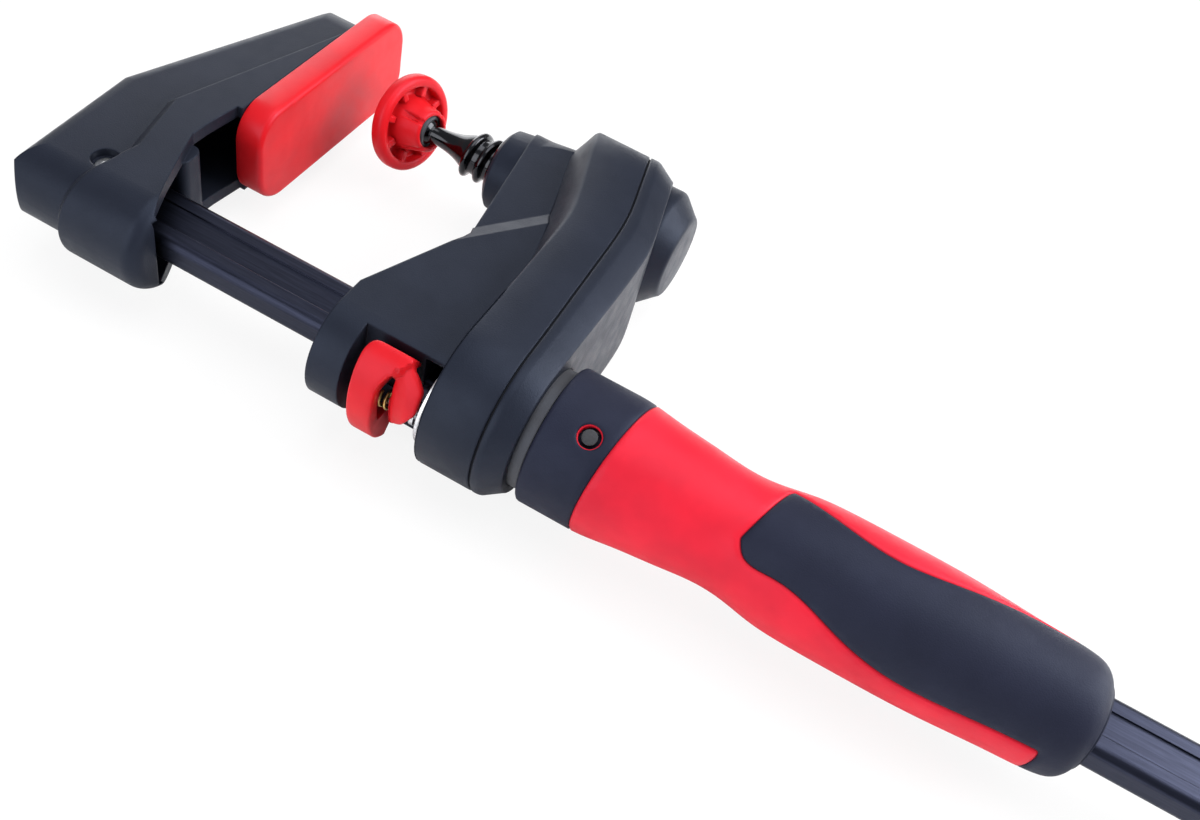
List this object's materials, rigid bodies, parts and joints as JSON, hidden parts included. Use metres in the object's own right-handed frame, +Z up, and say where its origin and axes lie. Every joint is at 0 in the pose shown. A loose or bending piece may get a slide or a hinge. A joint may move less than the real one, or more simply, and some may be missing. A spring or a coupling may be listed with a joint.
{
  "type": "one-handed geared bar clamp",
  "caption": "One-handed bar clamp: steel rail, fixed jaw with soft pad, sliding arm with geared in-line handle, spindle with swivel plate and quick release.",
  "frame": {"origin": "where the spindle's axis meets the clamping face of the fixed jaw's pad", "axes": "+X along the rail from the fixed jaw to the handle, +Y from the rail to the jaw tips, +Z up with the clamp lying on its side"},
  "size_m": [0.3965, 0.109, 0.038],
  "materials": {
    "black_polyamide": "fine-grained satin",
    "red_polyamide": "satin",
    "red_grip": "soft satin",
    "black_grip": "soft matt",
    "burnished_steel": "blackened, satin",
    "black_oxide_steel": "blackened, glossy",
    "bright_steel": "bright",
    "brass_spring": "bright",
    "gear_plastic": "natural, satin",
    "gasket_rubber": "matt",
    "bush_plastic": "satin"
  },
  "bodies": {
    "frame": {"rail": "burnished_steel", "rail_stop_pin": "bright_steel", "fixed_jaw": "black_polyamide", "jaw_pin": "bright_steel", "fixed_jaw_pad": "red_polyamide"},
    "slider": {"sliding_arm": "black_polyamide", "rail_guide": "bush_plastic", "spindle_nut": "black_oxide_steel", "gear_housing": "black_polyamide", "housing_gasket": "gasket_rubber", "rear_cover": "black_polyamide", "housing_screws": "bright_steel", "idler_pins": "bright_steel", "thrust_washer": "bush_plastic", "spindle_end_cap": "black_polyamide", "spring_post": "bright_steel", "button_spring": "brass_spring"},
    "button": {"release_button": "red_polyamide"},
    "clamping_plates": {"clamping_plate_front": "bright_steel", "clamping_plate_rear": "bright_steel"},
    "handle": {"handle_grip": "red_grip", "handle_core": "black_grip", "collar_screws": "black_oxide_steel", "drive_sleeve": "bright_steel", "drive_gear": "gear_plastic", "handle_end_bush": "bush_plastic"},
    "idler_a": {"idler_gear_a": "gear_plastic"},
    "idler_b": {"idler_gear_b": "gear_plastic"},
    "spindle_drive": {"spindle_gear": "gear_plastic", "drive_rod": "bright_steel"},
    "spindle_body": {"spindle": "black_oxide_steel"},
    "swivel_cup": {"ball_cup": "bush_plastic"},
    "plate": {"pressure_plate": "red_polyamide"}
  },
  "joints": [
    {"name": "slider_slide", "type": "slide", "parent": "frame", "child": "slider", "axis": [1, 0, 0], "range_m": [-0.005, 0.2725]},
    {"name": "handle_turn", "type": "hinge", "parent": "slider", "child": "handle", "pos_m": [0.0965, -0.0675, 0], "axis": [-1, 0, 0], "range_deg": [-975, 375]},
    {"name": "idler_a_turn", "type": "hinge", "parent": "slider", "child": "idler_a", "pos_m": [0.0965, -0.0425, 0], "axis": [-1, 0, 0], "range_deg": [-570, 1470]},
    {"name": "idler_b_turn", "type": "hinge", "parent": "slider", "child": "idler_b", "pos_m": [0.0965, -0.0225, 0], "axis": [-1, 0, 0], "range_deg": [-1470, 570]},
    {"name": "spindle_gear_turn", "type": "hinge", "parent": "slider", "child": "spindle_drive", "pos_m": [0.0965, 0, 0], "axis": [-1, 0, 0], "range_deg": [-460, 1180]},
    {"name": "spindle_feed", "type": "slide", "parent": "spindle_drive", "child": "spindle_body", "axis": [-1, 0, 0], "range_m": [-0.0131, 0.0051]},
    {"name": "plate_spin", "type": "hinge", "parent": "spindle_body", "child": "swivel_cup", "pos_m": [0.0205, 0, 0], "axis": [-1, 0, 0], "range_deg": [-1180, 460]},
    {"name": "plate_tilt", "type": "hinge", "parent": "swivel_cup", "child": "plate", "pos_m": [0.0205, 0, 0], "axis": [0, -0.7459, -0.666], "range_deg": [-37.4, 2.6]},
    {"name": "button_push", "type": "slide", "parent": "slider", "child": "button", "axis": [1, 0, 0], "range_m": [0, 0.0012], "stiffness_N_per_m": 2500},
    {"name": "clamp_release", "type": "hinge", "parent": "slider", "child": "clamping_plates", "pos_m": [0.0755, -0.0549, 0], "axis": [0, 0, 1], "range_deg": [0, 3.01]}
  ],
  "couplings": [
    {"joint": "idler_a_turn", "follows": "handle_turn", "ratio": -1.5},
    {"joint": "idler_b_turn", "follows": "handle_turn", "ratio": 1.5},
    {"joint": "spindle_gear_turn", "follows": "handle_turn", "ratio": -1.2},
    {"joint": "spindle_feed", "follows": "handle_turn", "m_per_rad": 0.00076394},
    {"joint": "plate_spin", "follows": "handle_turn", "ratio": 1.2},
    {"joint": "clamp_release", "follows": "button_push", "rad_per_m": 43.633}
  ]
}
